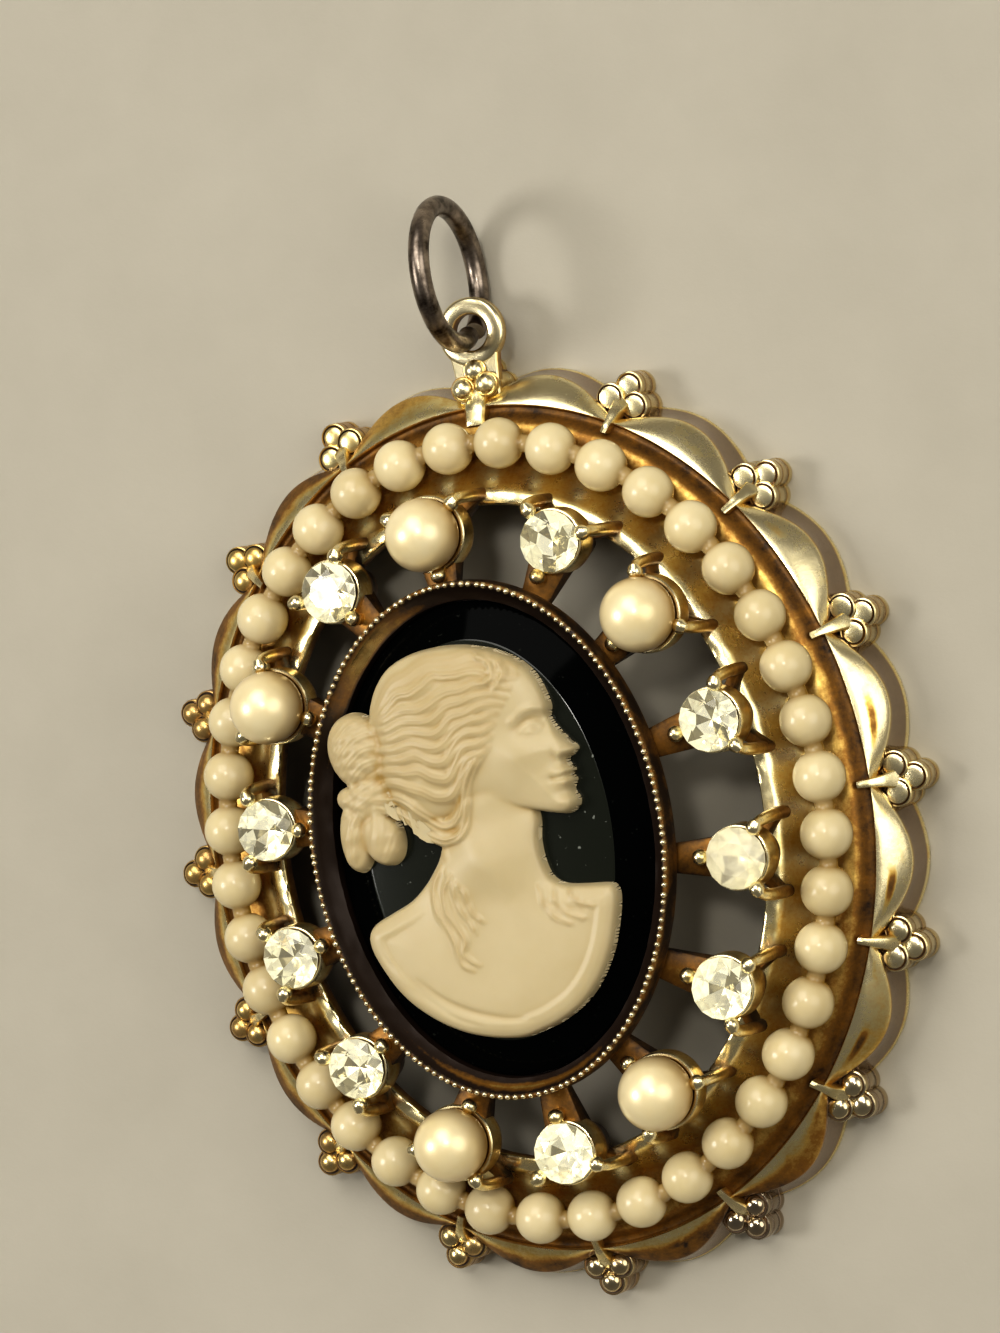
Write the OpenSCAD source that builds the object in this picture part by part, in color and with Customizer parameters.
// Oval cameo pendant lying on its back, face up (+Z), long axis along Y, top at +Y.
// The origin is under the middle of the whole jewel, on the surface that it rests on.
// The modules draw round the oval's own middle, and laid_down() moves them to the origin.
// Every oval is the cameo's own edge moved outward by an offset, named with _o.

/* [Cameo] */
// Width of the oval cameo plate
cameo_w = 18; // [14:0.5:22]
// Length of the oval cameo plate
cameo_l = 25; // [20:0.5:30]
// Height of the plate's straight edge
plate_edge_h = 0.7; // [0.4:0.05:1.2]
// Height of the plate from its underside to its flat top
plate_h = 1.6; // [1.2:0.05:2.2]
// Width of the bevel round the plate's flat top
plate_bevel_w = 2.1; // [1:0.1:2.8]
// Height of the carved bust over the plate's flat top
relief_h = 2.0; // [1.2:0.1:2.6]
// Margin that the bust keeps from the plate's edge
bust_margin = 0.6; // [0.3:0.05:0.9]
// Depth of the plate's flat top below the bezel's top edge
plate_sink = 0.5; // [0.3:0.05:0.8]

/* [Bezel] */
// Thickness of the bezel cup's wall at its rolled edge
bezel_wall = 1.05; // [0.7:0.05:1.4]
// Height of the bezel's upright outer wall
bezel_wall_h = 1.45; // [1:0.05:2]
// Thickness of the bezel cup's floor
bezel_floor_t = 0.6; // [0.4:0.05:0.9]
// Height of the bezel's top edge over the resting surface
bezel_z = 9.65; // [9:0.05:11]

/* [Settings] */
// Offset of the middle of the settings from the cameo's edge
setting_o = 4.2; // [3.9:0.1:4.8]
// Diameter of a rhinestone at its girdle
stone_d = 3.1; // [2.6:0.1:3.5]
// Diameter of a large pearl
pearl_d = 3.9; // [3.2:0.1:4.2]
// Height of the stones' girdles over the resting surface
girdle_z = 8.3; // [7.6:0.1:8.8]
// Wall of a collet cup round a stone
collet_wall = 0.2; // [0.15:0.05:0.4]
// Radius of a prong's ball tip
prong_ball_r = 0.4; // [0.3:0.05:0.5]
// Width of the web that ties a setting to the bezel
web_w = 1.2; // [0.8:0.1:1.6]
// Height of a large pearl's middle over the stones' girdles
pearl_lift = 0.3; // [0.1:0.05:0.5]
// Share of a step that the settings stand turned past the top of the oval
setting_turn = -0.17; // [-0.4:0.01:0.4]

/* [Rim] */
// Offset of the pierced opening's outer edge from the cameo's edge
rail_o = 4.8; // [4.4:0.1:5.4]
// Width of the worn rail round the opening
rail_w = 0.75; // [0.5:0.05:1]
// Height of the rail over the resting surface
rail_z = 5.3; // [4.9:0.1:5.8]
// Thickness of the domed shell
shell_t = 0.85; // [0.6:0.05:1]
// Height of the channel's floor under the small pearls
channel_z = 3.55; // [3.2:0.05:4]
// Offset of the scallops' feet from the cameo's edge at their widest
foot_o = 12.1; // [11.8:0.05:12.5]
// Depth of the notch between two scallops
notch_d = 1.2; // [0.8:0.05:1.4]
// Height of a scallop's ridge at its middle
ridge_z = 1.95; // [1.6:0.05:2.3]
// Rise of the ridge from a scallop's middle to the trefoils
ridge_rise = 0.8; // [0.4:0.05:1]
// Radius of a trefoil's ball
trefoil_ball_r = 0.67; // [0.5:0.01:0.72]
// Width of the rib that runs from a trefoil to the pearls
rib_w = 0.5; // [0.3:0.05:0.8]

/* [Small pearl string] */
// Diameter of a small pearl
bead_d = 2.6; // [2.2:0.05:2.7]
// Offset of the string from the cameo's edge
string_o = 8.03; // [7.9:0.05:8.3]
// Clear distance between one small pearl and the next
bead_gap = 0.35; // [0.25:0.05:0.6]
// Diameter of the thread's bore in a small pearl
bead_bore_d = 0.8; // [0.5:0.05:1]
// Diameter of the thread
thread_d = 0.5; // [0.3:0.05:0.6]

/* [Hanger] */
// Outer diameter of the flat eye
tab_d = 3.75; // [3.4:0.05:4.2]
// Diameter of the eye's hole
tab_hole_d = 1.95; // [1.8:0.05:2.2]
// Thickness of the eye
tab_t = 0.7; // [0.5:0.05:0.9]
// Height of the eye's underside over the resting surface
tab_z = 2; // [1.6:0.1:2.2]
// Distance that the eye stands off the long axis
tab_x = 0.5; // [0:0.1:0.8]
// Diameter of the jump ring's wire
ring_wire_d = 1.1; // [0.9:0.05:1.2]
// Diameter of the jump ring along the middle of its wire
ring_d = 7.3; // [6.8:0.1:8]

/* [Hidden] */

GOLD = "#b8913f";
DARK_METAL = "#5a4a3a";
JET = "#15181a";
IVORY = "#e2d3b2";
CLEAR = "#f2efdc";
PEARL = "#ddc48a";
SMALL_PEARL = "#e3d2a4";
THREAD = "#d8cba6";

// Numbers of repeats round the oval
setting_count = 14;
scallop_count = 16;
// Places of the large pearls among the settings, counted clockwise from the top
PEARL_PLACES = [0, 2, 6, 8, 12];
STONE_PLACES = [for (i = [0:setting_count - 1]) if (!is_pearl(i)) i];
// The settings were soldered on by hand. Each row is one setting's distance from its even
// place, outward and along the oval, as shares of a stone's diameter.
SETTING_SHIFTS = [
  [-0.15, 0.08], [-0.10, -0.14], [-0.12, -0.04], [0.02, 0], [0.02, -0.14], [0.06, -0.14], [-0.04, -0.11],
  [0.02, 0], [0.05, 0.14], [0.02, 0.15], [0.05, 0.12], [0, 0.06], [0.12, 0.13], [0.02, 0.02]
];

// Clearances: beside a piece that drops in, and under a piece that is seated
fit_gap = 0.08;
seat_gap = 0.05;

// Stations round the oval for the swept shells, and degrees between the arc table's rows
steps_per_scallop = 4;
oval_steps = 48;
arc_step = 3;
// Sides of the small round parts of the casting
ball_sides = 7;
cup_sides = 10;
prong_sides = 5;
eye_sides = 32;
pearl_sides = 48;

// Cameo plate, from the bezel's floor up
plate_top_z = bezel_z - plate_sink;
plate_z = plate_top_z - plate_h;
cup_floor_z = plate_z - seat_gap;
cup_under_z = cup_floor_z - bezel_floor_t;
bust_z = plate_top_z + seat_gap;

// Settings
collet_r = stone_d / 2 + fit_gap + collet_wall;
collet_h = 1.9;
collet_foot_r = 1.1;
setting_foot_z = rail_z - shell_t - 0.05;
prong_r = collet_r + prong_ball_r * 0.75;
pearl_prong_r = pearl_d / 2 + prong_ball_r + seat_gap;
prong_spread = 58;
prong_tip_z = girdle_z - 0.1;
pearl_z = girdle_z + pearl_lift;
pearl_prong_tip_z = pearl_z - 0.7;
cup_r = pearl_d / 2 + 0.1;
cup_top_z = girdle_z - 0.5;
web_in_o = bezel_wall * 0.5 - 0.1;
web_in_z = cup_under_z + 0.15;
web_in_h = 0.75;
web_tip_h = 0.7;
web_top_z = girdle_z - 0.6;

// Rim
bead_r = bead_d / 2;
string_z = channel_z + bead_r + fit_gap;
pad_o = string_o + bead_r + 0.65;
pad_z = channel_z - 0.5;
trefoil_in_o = foot_o - 1.1;
trefoil_out_o = foot_o + 0.3;
trefoil_half_gap = trefoil_ball_r * 1.4;
trefoil_core_r = trefoil_ball_r * 1.1;
trefoil_in_z = ridge_z + 0.15;
trefoil_out_z = ridge_z - 0.1;
trefoil_dome_h = 0.25;
foot_w = 0.9;

// Hanger
top_notch_y = cameo_l / 2 + foot_o - notch_d;
tab_y = top_notch_y + 3.1;
tab_neck_w = 2.4;
tab_neck_x = tab_x - 0.15;
ring_r = ring_d / 2;
ring_z = ring_r + ring_wire_d / 2 + 0.01;
tab_mid_z = tab_z + tab_t / 2;
ring_y = tab_y + sqrt(pow(ring_r, 2) - pow(ring_z - tab_mid_z, 2)) - seat_gap;

// Middle of the whole jewel along Y, between the lowest trefoil and the ring's far side
low_y = -(cameo_l / 2 + trefoil_out_o + trefoil_ball_r);
high_y = ring_y + ring_r + ring_wire_d / 2;
middle_y = (low_y + high_y) / 2;

// Points on an oval at a given offset: t runs clockwise from the top
function oval(o, t) = [(cameo_w / 2 + o) * sin(t), (cameo_l / 2 + o) * cos(t)];

// Length along the oval against t, and the t at a share of the whole length
function arc_table(o) = [
  for (t = 0, s = 0; t <= 360; s = s + norm(oval(o, t + arc_step) - oval(o, t)), t = t + arc_step)
    [s, t]
];
function place_on(o, share) =
  let (table = arc_table(o), whole = table[len(table) - 1][0], part = share - floor(share))
  lookup(part * whole, table);
function oval_length(o) =
  let (table = arc_table(o)) table[len(table) - 1][0];

// Direction in which the oval runs at t, as a turn about Z
function heading(o, t) =
  let (a = cameo_w / 2 + o, b = cameo_l / 2 + o) atan2(-b * sin(t), a * cos(t));

// Turn about Z that points +X outward at t
function outward(o, t) = heading(o, t) + 90;

function setting_t(i) = place_on(setting_o, (i + setting_turn) / setting_count);
function trefoil_t(i) = place_on(trefoil_in_o, i / scallop_count);
function bead_count() = round(oval_length(string_o) / (bead_d + bead_gap));
function bead_t(i) = place_on(string_o, (i - 0.26) / bead_count());

function is_pearl(i) = len(search(i, PEARL_PLACES)) > 0;

// A closed loop of rings, each ring a closed profile of [x, y, z] points
module swept_loop(rings) {
  n = len(rings);
  m = len(rings[0]);
  points = [for (ring = rings) each ring];
  faces = [
    for (i = [0:n - 1], j = [0:m - 1])
      let (a = i * m, b = ((i + 1) % n) * m, k = (j + 1) % m)
      each [[a + j, b + j, b + k], [a + j, b + k, a + k]]
  ];
  polyhedron(points, faces, convexity = 8);
}

// A profile of [offset, height] points set up at t
function ring_at(profile, t) = [for (p = profile) let (q = oval(p[0], t)) [q[0], q[1], p[1]]];

// Section of the domed shell: bulge runs from 0 at a trefoil to 1 at a scallop's middle
function shell_profile(bulge) =
  let (
    foot = foot_o - notch_d * (1 - bulge),
    ridge_in_o = pad_o + 0.15,
    ridge_o = ridge_in_o + (foot_o - 0.5 - ridge_in_o) * bulge,
    ridge = ridge_z + ridge_rise * (1 - bulge),
    under = channel_z - shell_t
  )
  [
    [rail_o, rail_z - shell_t],
    [string_o - bead_r * 0.95, under + 0.2],
    [pad_o - 0.3, pad_z - shell_t - 0.3],
    [foot - foot_w, 0],
    [foot - 0.05, 0],
    [foot, 0.5],
    [ridge_o, ridge],
    [pad_o, pad_z + 0.1 * bulge],
    [pad_o - 0.3, pad_z - 0.25],
    [string_o + bead_r * 0.9, channel_z - 0.05],
    [string_o - bead_r * 0.75, channel_z + 0.1],
    [rail_o + rail_w, rail_z - 0.3],
    [rail_o, rail_z]
  ];

module shell() {
  count = scallop_count * steps_per_scallop;
  swept_loop([
    for (i = [0:count - 1])
      let (t = place_on(trefoil_in_o, i / count), share = (i % steps_per_scallop) / steps_per_scallop)
      ring_at(shell_profile(pow(sin(180 * share), 1.2)), t)
  ]);
}

// A solid with an oval outline for each row of [offset, height], closed at both ends
module oval_stack(profile) {
  n = oval_steps;
  rows = len(profile);
  points = [
    for (p = profile, i = [0:n - 1])
      let (q = oval(p[0], 360 * i / n)) [q[0], q[1], p[1]]
  ];
  sides = [
    for (r = [0:rows - 2], i = [0:n - 1])
      let (a = r * n + i, b = r * n + (i + 1) % n)
      [a, b, b + n, a + n]
  ];
  bottom = [for (i = [0:n - 1]) n - 1 - i];
  top = [for (i = [0:n - 1]) (rows - 1) * n + i];
  polyhedron(points, concat([bottom], sides, [top]), convexity = 4);
}

// Cup with a rolled edge, a flange that slopes down to the plate and a closed floor
module bezel() {
  oval_stack([
    [bezel_wall * 0.5, cup_under_z],
    [bezel_wall * 0.7, bezel_z - bezel_wall_h - 0.5],
    [bezel_wall, bezel_z - bezel_wall_h],
    [bezel_wall, bezel_z - 0.15],
    [bezel_wall * 0.82, bezel_z],
    [bezel_wall * 0.65, bezel_z - 0.15],
    [bezel_wall * 0.5, bezel_z - 0.5],
    [fit_gap, plate_z + plate_edge_h + 0.45],
    [fit_gap, cup_floor_z]
  ]);
}

// Moves what it holds from the oval's middle to the origin
module laid_down() {
  translate([0, -middle_y, 0])
    children();
}

// Moves what it holds to a place on an oval, with +X outward
module at_oval(o, t) {
  p = oval(o, t);
  translate([p[0], p[1], 0])
    rotate(outward(o, t))
      children();
}

// Post with a domed top that rises by dome_h
module round_post(z0, top_z, r, dome_h, sides) {
  rotate_extrude($fn = sides)
    polygon([[0, z0], [r, z0], [r, top_z], [r * 0.65, top_z + dome_h * 0.8], [0, top_z + dome_h]]);
}

// Three prongs: two on the outer side, one on the inner side over the web
module prongs(r, tip_z) {
  dome_h = prong_ball_r * 0.9;
  for (turn = [-prong_spread, prong_spread])
    rotate(turn)
      translate([r, 0, 0])
        round_post(setting_foot_z, tip_z, prong_ball_r, dome_h, prong_sides);
  translate([-r, 0, 0])
    round_post(web_top_z - web_tip_h, tip_z, prong_ball_r, dome_h, prong_sides);
}

// Web in the plane of the spoke, inward by reach to the bezel's floor from a cup of radius r
module web(r, reach) {
  slab = 0.1;
  hull() {
    translate([-reach, -web_w / 2, web_in_z])
      cube([slab, web_w, web_in_h]);
    translate([-collet_foot_r, -web_w / 2, setting_foot_z + 0.12])
      cube([slab, web_w, web_tip_h]);
    translate([-r + slab, -web_w / 2, web_top_z - web_tip_h])
      cube([slab, web_w, web_tip_h]);
  }
}

// Collet with its stone's seat: a cone under the girdle and a straight wall over it
module collet() {
  seat_r = stone_d / 2 + fit_gap;
  top_z = girdle_z + 0.15;
  rotate_extrude($fn = cup_sides)
    polygon([
      [0, setting_foot_z],
      [collet_foot_r, setting_foot_z],
      [collet_r, top_z - collet_h],
      [collet_r, top_z],
      [seat_r, top_z],
      [seat_r, girdle_z - seat_gap],
      [0, girdle_z - seat_gap - stone_d * 0.42]
    ]);
}

// Cup under a large pearl, with its hollow a little wider than the pearl
module pearl_cup() {
  hollow_r = (pearl_d / 2 + seat_gap) / cos(180 / cup_sides);
  drop = pearl_z - cup_top_z;
  rotate_extrude($fn = cup_sides)
    polygon([
      [0, setting_foot_z],
      [collet_foot_r, setting_foot_z],
      [cup_r, cup_top_z - collet_h * 0.7],
      [cup_r, cup_top_z],
      [sqrt(pow(hollow_r, 2) - pow(drop, 2)), cup_top_z],
      [hollow_r * 0.72, pearl_z - hollow_r * 0.78],
      [hollow_r * 0.3, pearl_z - hollow_r * 1.02],
      [0, pearl_z - hollow_r * 1.02]
    ]);
}

// Moves what it holds to a setting's place
module at_setting(i) {
  shift = SETTING_SHIFTS[i] * stone_d;
  at_oval(setting_o, setting_t(i))
    translate([shift[0], shift[1], 0])
      children();
}

module setting(i) {
  reach = setting_o + SETTING_SHIFTS[i][0] * stone_d - web_in_o;
  at_setting(i)
    if (is_pearl(i)) {
      pearl_cup();
      prongs(pearl_prong_r, pearl_prong_tip_z);
      web(cup_r, reach);
    } else {
      collet();
      prongs(prong_r, prong_tip_z);
      web(collet_r, reach);
    }
}

// Three balls on round posts, two side by side inward and one outward, round a core
module trefoil(i) {
  reach = trefoil_out_o - trefoil_in_o;
  at_oval(trefoil_in_o, trefoil_t(i)) {
    for (side = [-1, 1])
      translate([0, side * trefoil_half_gap, 0])
        round_post(0, trefoil_in_z, trefoil_ball_r, trefoil_dome_h, ball_sides);
    translate([reach, 0, 0])
      round_post(0, trefoil_out_z, trefoil_ball_r, trefoil_dome_h, ball_sides);
    translate([reach * 0.42, 0, 0.05])
      rotate(19)
        cylinder(h = trefoil_out_z - 0.1, r = trefoil_core_r, $fn = ball_sides - 1);
  }
}

// Upright fin from a trefoil's inner balls to the small pearls
module rib(i) {
  reach_in = trefoil_in_o - (string_o + bead_r + fit_gap);
  at_oval(trefoil_in_o, trefoil_t(i))
    rotate([90, 0, 0])
      translate([0, 0, -rib_w / 2])
        linear_extrude(rib_w)
          polygon([
            [0.2, ridge_z - 1.2],
            [0.2, trefoil_in_z + trefoil_dome_h * 0.8],
            [-reach_in, channel_z + 0.35],
            [-reach_in, channel_z - 0.3]
          ]);
}

// Flat eye with a neck that runs under the top trefoil
module tab() {
  root_y = top_notch_y - 0.8;
  root_len = 1.4;
  root_h = 1.6;
  difference() {
    union() {
      translate([tab_x, tab_y, tab_z])
        cylinder(h = tab_t, r = tab_d / 2, $fn = eye_sides);
      translate([tab_neck_x - tab_neck_w / 2, root_y, tab_z])
        cube([tab_neck_w, tab_y - root_y - tab_hole_d / 2 - 0.3, tab_t]);
      translate([tab_neck_x - tab_neck_w / 2, root_y, tab_z + tab_t - 0.35 - root_h])
        cube([tab_neck_w, root_len, root_h]);
    }
    translate([tab_x, tab_y, tab_z - 1])
      cylinder(h = tab_t + 2, r = tab_hole_d / 2, $fn = eye_sides);
  }
}

module frame() {
  color(GOLD)
    laid_down() {
      shell();
      bezel();
      for (i = [0:setting_count - 1])
        setting(i);
      for (i = [0:scallop_count - 1]) {
        trefoil(i);
        rib(i);
      }
      tab();
    }
}

// Glossy oval plate: straight edge, bevel and flat top
module cameo_base() {
  color(JET)
    laid_down()
      oval_stack([
        [-fit_gap, plate_z],
        [-fit_gap, plate_z + plate_edge_h],
        [-plate_bevel_w, plate_top_z]
      ]);
}

// Bust in relief. Lengths are shares of the head's height, which follows the plate's size.
head_h = 0.4537 * sqrt(cameo_w * cameo_l);
head_x = cameo_w * 0.035;
head_y = cameo_l * 0.2;
head_tilt = 9;

// Columns: forward of the ear, up from the eye line, half length, half width, height, turn
HEAD_LOBES = [
  [-0.04, 0.10, 0.42, 0.37, 0.92, 0],
  [0.20, 0.16, 0.24, 0.27, 0.80, 0],
  [0.16, -0.12, 0.27, 0.33, 0.86, 0],
  [0.24, -0.33, 0.19, 0.15, 0.70, 20],
  [0.06, -0.26, 0.22, 0.20, 0.66, 35]
];
// Columns: forward, up, radius, height; a chain of small rounds down the face's edge
FACE_ROUNDS = [
  [0.36, 0.22, 0.075, 0.42],
  [0.385, 0.08, 0.06, 0.42],
  [0.375, 0.01, 0.05, 0.40],
  [0.47, -0.165, 0.045, 0.46],
  [0.40, -0.235, 0.055, 0.40],
  [0.415, -0.275, 0.045, 0.40],
  [0.405, -0.335, 0.045, 0.38],
  [0.38, -0.39, 0.05, 0.38],
  [0.375, -0.445, 0.07, 0.40]
];
// Columns: across and up from the head's centre, half length, half width and height as
// shares of the head's height and of the relief, and the turn
HAIR_LOBES = [
  [-0.2525, 0.4026, 0.40, 0.15, 0.80, 12],
  [-0.3834, 0.2338, 0.30, 0.20, 0.92, 35],
  [-0.7855, 0.0649, 0.19, 0.20, 0.85, 60],
  [-0.8135, -0.1818, 0.17, 0.19, 0.80, 80],
  [-0.7855, -0.4286, 0.17, 0.16, 0.78, 60],
  [-0.6639, -0.4026, 0.13, 0.14, 0.70, 90],
  [-0.3086, -0.2597, 0.30, 0.11, 0.98, -38]
];
// Locks on the shoulders: the same, but from the plate's middle as shares of the plate
SHOULDER_LOBES = [
  [-0.155, -0.115, 0.09, 0.17, 0.62, 10],
  [-0.115, -0.195, 0.10, 0.19, 0.52, 20],
  [0.235, -0.135, 0.08, 0.13, 0.45, 40]
];
// Edge of the shoulders, clockwise from the neck's front: shares of the plate
SHOULDER_EDGE = [
  [0.16, -0.075], [0.235, -0.105], [0.385, -0.118], [0.395, -0.165], [0.36, -0.245],
  [0.265, -0.345], [0.13, -0.405], [0.02, -0.42], [-0.12, -0.39], [-0.27, -0.325],
  [-0.385, -0.22], [-0.405, -0.18], [-0.38, -0.15], [-0.28, -0.125], [-0.165, -0.075]
];

module lobe(length, width, height) {
  scale([length * head_h, width * head_h, height * relief_h])
    sphere(1, $fn = 14);
}

module in_head(forward, up) {
  translate([head_x, head_y, 0])
    rotate(head_tilt)
      translate([forward * head_h, up * head_h, 0])
        children();
}

module shoulders() {
  edge = [for (p = SHOULDER_EDGE) [p[0] * cameo_w, p[1] * cameo_l]];
  middle = [0, -0.2 * cameo_l];
  shrunk = [for (p = edge) middle + (p - middle) * 0.86];
  inner = [for (p = edge) middle + (p - middle) * 0.55];
  hull() {
    linear_extrude(relief_h * 0.16)
      polygon(edge);
    linear_extrude(relief_h * 0.42)
      polygon(shrunk);
    linear_extrude(relief_h * 0.58)
      polygon(inner);
  }
}

module neck() {
  hull() {
    in_head(0.05, -0.22)
      lobe(0.21, 0.2, 0.62);
    translate([0.02 * cameo_w, -0.15 * cameo_l, 0])
      lobe(0.34, 0.16, 0.62);
  }
}

module bust_form() {
  shoulders();
  neck();
  for (row = HEAD_LOBES)
    in_head(row[0], row[1])
      rotate(row[5])
        lobe(row[2], row[3], row[4]);
  for (k = [0:len(FACE_ROUNDS) - 2])
    hull() {
      for (row = [FACE_ROUNDS[k], FACE_ROUNDS[k + 1]])
        in_head(row[0], row[1])
          cylinder(h = row[3] * relief_h, r1 = row[2] * head_h, r2 = row[2] * head_h * 0.5, $fn = 8);
      in_head(0.18, FACE_ROUNDS[k][1])
        cylinder(h = 0.66 * relief_h, r = 0.05 * head_h, $fn = 6);
    }
  for (row = HAIR_LOBES)
    translate([head_x + row[0] * head_h, head_y + row[1] * head_h, 0])
      rotate(row[5])
        lobe(row[2], row[3], row[4]);
  for (row = SHOULDER_LOBES)
    translate([row[0] * cameo_w, row[1] * cameo_l, 0])
      rotate(row[5])
        lobe(row[2], row[3], row[4]);
}

module cameo_bust() {
  color(IVORY)
    laid_down()
      translate([0, 0, bust_z])
        intersection() {
          bust_form();
          linear_extrude(relief_h * 1.2)
            polygon([for (i = [0:oval_steps - 1]) oval(-bust_margin, 360 * i / oval_steps)]);
        }
}

// Faceted stone: eight-sided table, sixteen-sided girdle and a pointed back
module rhinestone(k) {
  r = stone_d / 2;
  crown_h = stone_d * 0.16;
  pavilion_h = stone_d * 0.36;
  table_r = r * 0.6;
  points = concat(
    [for (j = [0:7]) [table_r * cos(45 * j), table_r * sin(45 * j), crown_h]],
    [for (j = [0:15]) [r * cos(22.5 * j), r * sin(22.5 * j), 0]],
    [[0, 0, -pavilion_h]]
  );
  table = [for (j = [7:-1:0]) j];
  kites = [
    for (j = [0:7])
      let (g = 8 + 2 * j, next = 8 + (2 * j + 2) % 16)
      each [[j, g + 1, g], [j, (j + 1) % 8, g + 1], [(j + 1) % 8, next, g + 1]]
  ];
  back = [for (j = [0:15]) [8 + j, 8 + (j + 1) % 16, 24]];
  color(CLEAR)
    laid_down()
      at_setting(STONE_PLACES[k])
        translate([0, 0, girdle_z])
          polyhedron(points, concat([table], kites, back), convexity = 2);
}

module large_pearl(k) {
  color(PEARL)
    laid_down()
      at_setting(PEARL_PLACES[k])
        translate([0, 0, pearl_z])
          sphere(pearl_d / 2, $fn = pearl_sides);
}

module small_pearl_string() {
  color(SMALL_PEARL)
    laid_down()
      for (i = [0:bead_count() - 1])
        at_oval(string_o, bead_t(i))
          translate([0, 0, string_z])
            difference() {
              sphere(bead_r);
              rotate([90, 0, 0])
                cylinder(h = bead_d * 2, r = bead_bore_d / 2, center = true);
            }
}

// Closed thread with six sides through every small pearl
module string_thread() {
  sides = 6;
  r = thread_d / 2;
  color(THREAD)
    laid_down()
      swept_loop([
        for (i = [0:bead_count() - 1])
          let (t = bead_t(i + 0.5), p = oval(string_o, t), turn = outward(string_o, t))
          [
            for (j = [0:sides - 1])
              let (across = r * cos(360 * j / sides), up = r * sin(360 * j / sides))
              [p[0] + across * cos(turn), p[1] + across * sin(turn), string_z + up]
          ]
      ]);
}

// Round wire ring that stands on edge through the eye
module jump_ring() {
  color(DARK_METAL)
    laid_down()
      translate([tab_x, ring_y, ring_z])
        rotate([0, 90, 0])
          rotate_extrude($fn = 48)
            translate([ring_r, 0])
              circle(ring_wire_d / 2, $fn = 24);
}

frame();
cameo_base();
cameo_bust();
rhinestone(0);  // rhinestone_1
rhinestone(1);  // rhinestone_2
rhinestone(2);  // rhinestone_3
rhinestone(3);  // rhinestone_4
rhinestone(4);  // rhinestone_5
rhinestone(5);  // rhinestone_6
rhinestone(6);  // rhinestone_7
rhinestone(7);  // rhinestone_8
rhinestone(8);  // rhinestone_9
large_pearl(0);  // large_pearl_1
large_pearl(1);  // large_pearl_2
large_pearl(2);  // large_pearl_3
large_pearl(3);  // large_pearl_4
large_pearl(4);  // large_pearl_5
small_pearl_string();
string_thread();
jump_ring();
